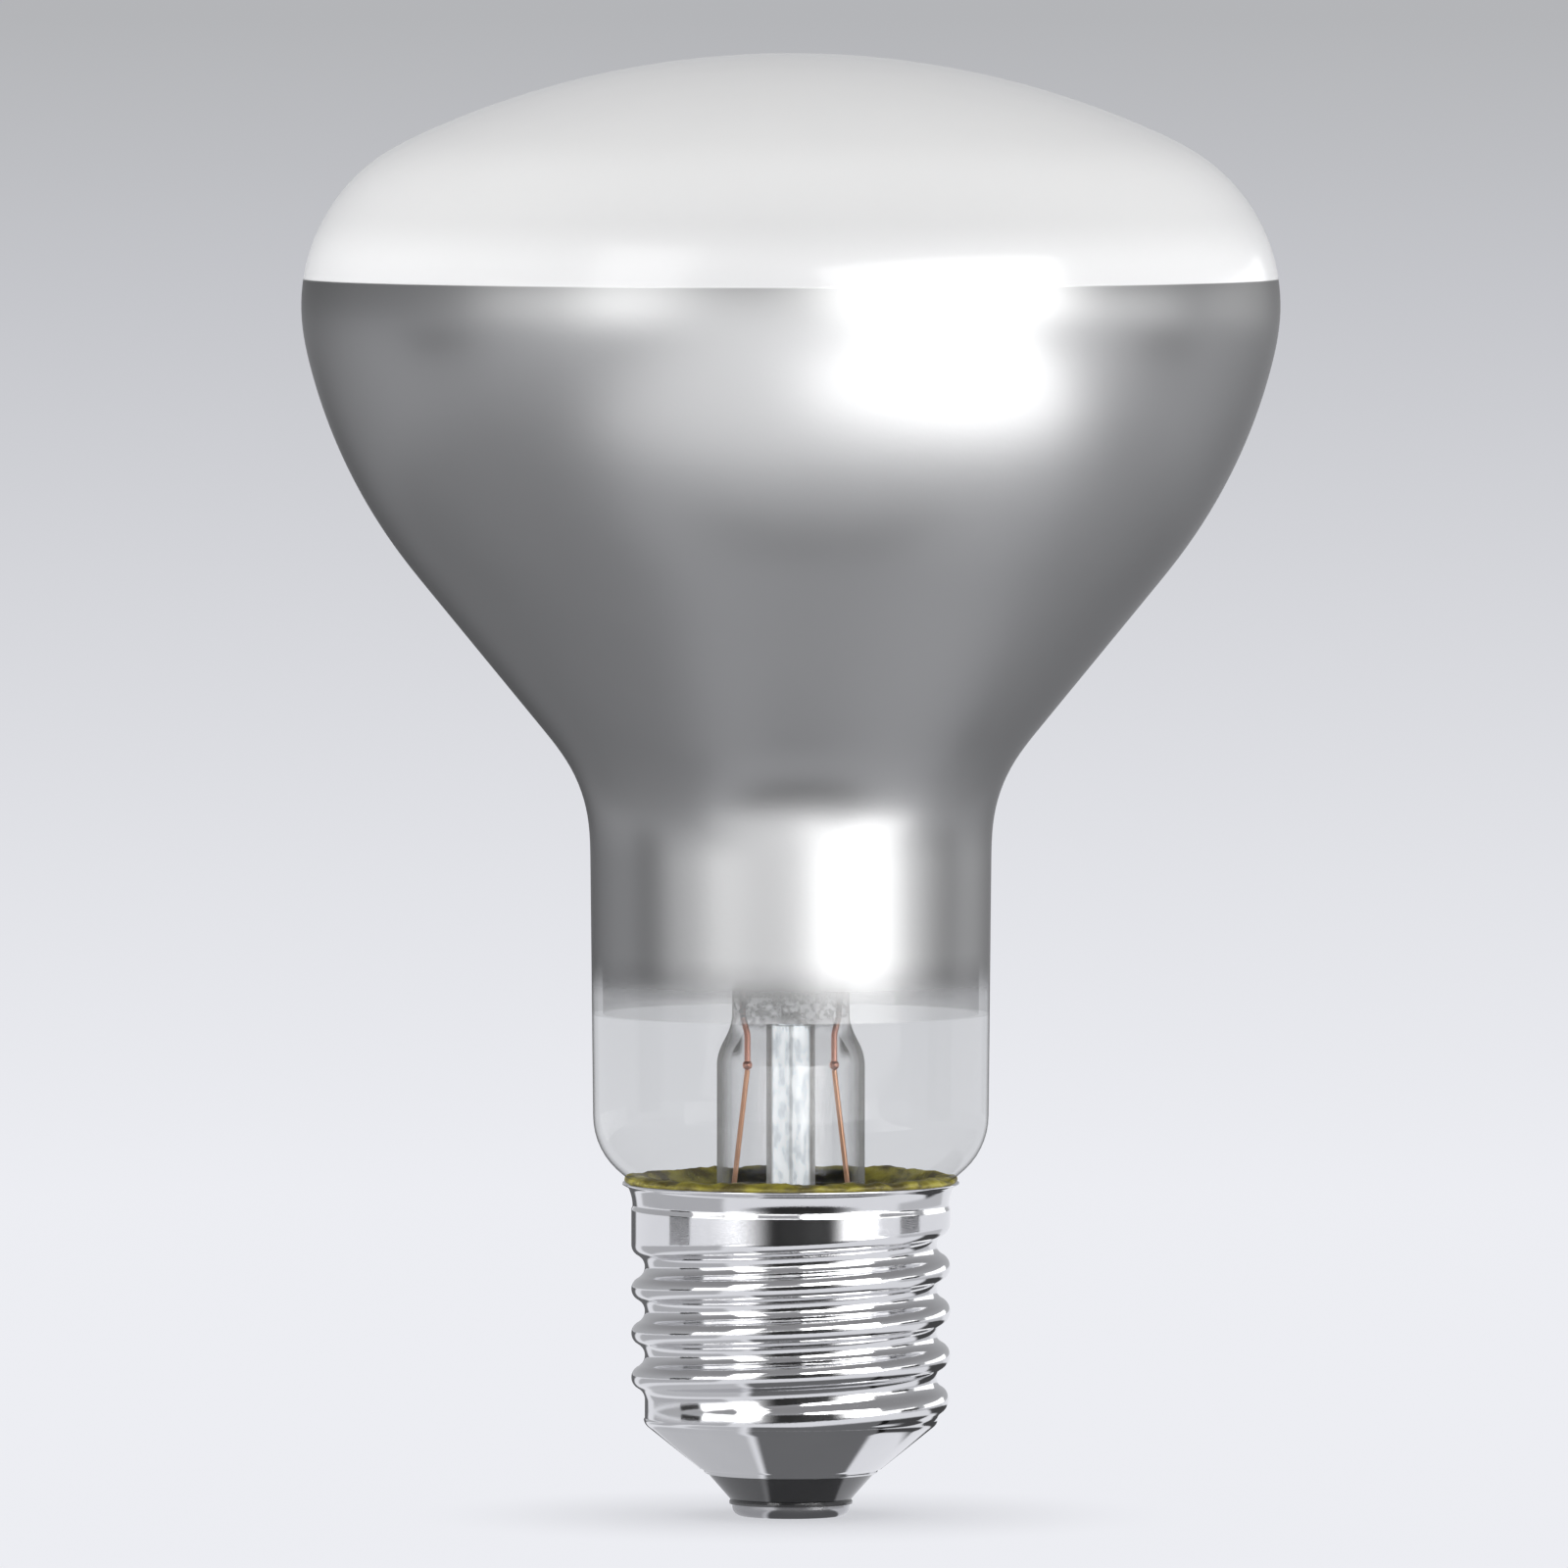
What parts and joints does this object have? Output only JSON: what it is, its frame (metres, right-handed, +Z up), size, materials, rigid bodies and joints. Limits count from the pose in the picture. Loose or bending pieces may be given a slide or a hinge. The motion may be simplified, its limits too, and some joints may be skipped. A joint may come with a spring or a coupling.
{
  "type": "reflector lamp",
  "caption": "Reflector lamp with a frosted dome, an internally mirrored bowl and neck, a clear neck end over its glass stem, and a rolled screw cap with a centre contact.",
  "frame": {"origin": "middle of the centre contact's bottom face, the lowest point of the lamp", "axes": "+Z up the lamp axis from the centre contact to the dome; X runs through the two lead wires, and the side solder is on the +Y side of the cap's rim"},
  "size_m": [0.08, 0.08, 0.1196],
  "materials": {
    "bulb_glass": "clear blown soda-lime glass, satin over the dome",
    "white_coat": "matt white diffusing powder coat",
    "mirror_coat": "vacuum-deposited aluminium, satin from behind",
    "stem_glass": "clear lead glass tube and rod, fused",
    "support_metal": "drawn molybdenum wire",
    "tungsten": "coiled tungsten wire",
    "lead_metal": "drawn nickel-iron wire",
    "seal_metal": "copper-clad seal wire, reddish in the glass",
    "copper": "bare drawn copper wire",
    "solder": "cooled soft solder",
    "cement": "baked olive-yellow capping cement",
    "cap_metal": "bright rolled nickel-plated sheet",
    "black_glass": "glossy black cast glass",
    "contact_metal": "pressed nickel-plated plate, lightly brushed"
  },
  "bodies": {
    "root": {"glass_bulb": "bulb_glass", "diffuser_coating": "white_coat", "reflector_coating": "mirror_coat", "stem_flare": "stem_glass", "exhaust_tube": "stem_glass", "arbor_rod": "stem_glass", "support_wire_1": "support_metal", "support_wire_2": "support_metal", "support_wire_3": "support_metal", "filament": "tungsten", "inner_lead_left": "lead_metal", "inner_lead_right": "lead_metal", "seal_wire_left": "seal_metal", "seal_wire_right": "seal_metal", "outer_lead_contact": "copper", "outer_lead_shell": "copper", "shell_solder": "solder", "contact_solder": "solder", "capping_cement": "cement", "cap_shell": "cap_metal", "cap_insulator": "black_glass", "centre_contact": "contact_metal"}
  },
  "joints": []
}
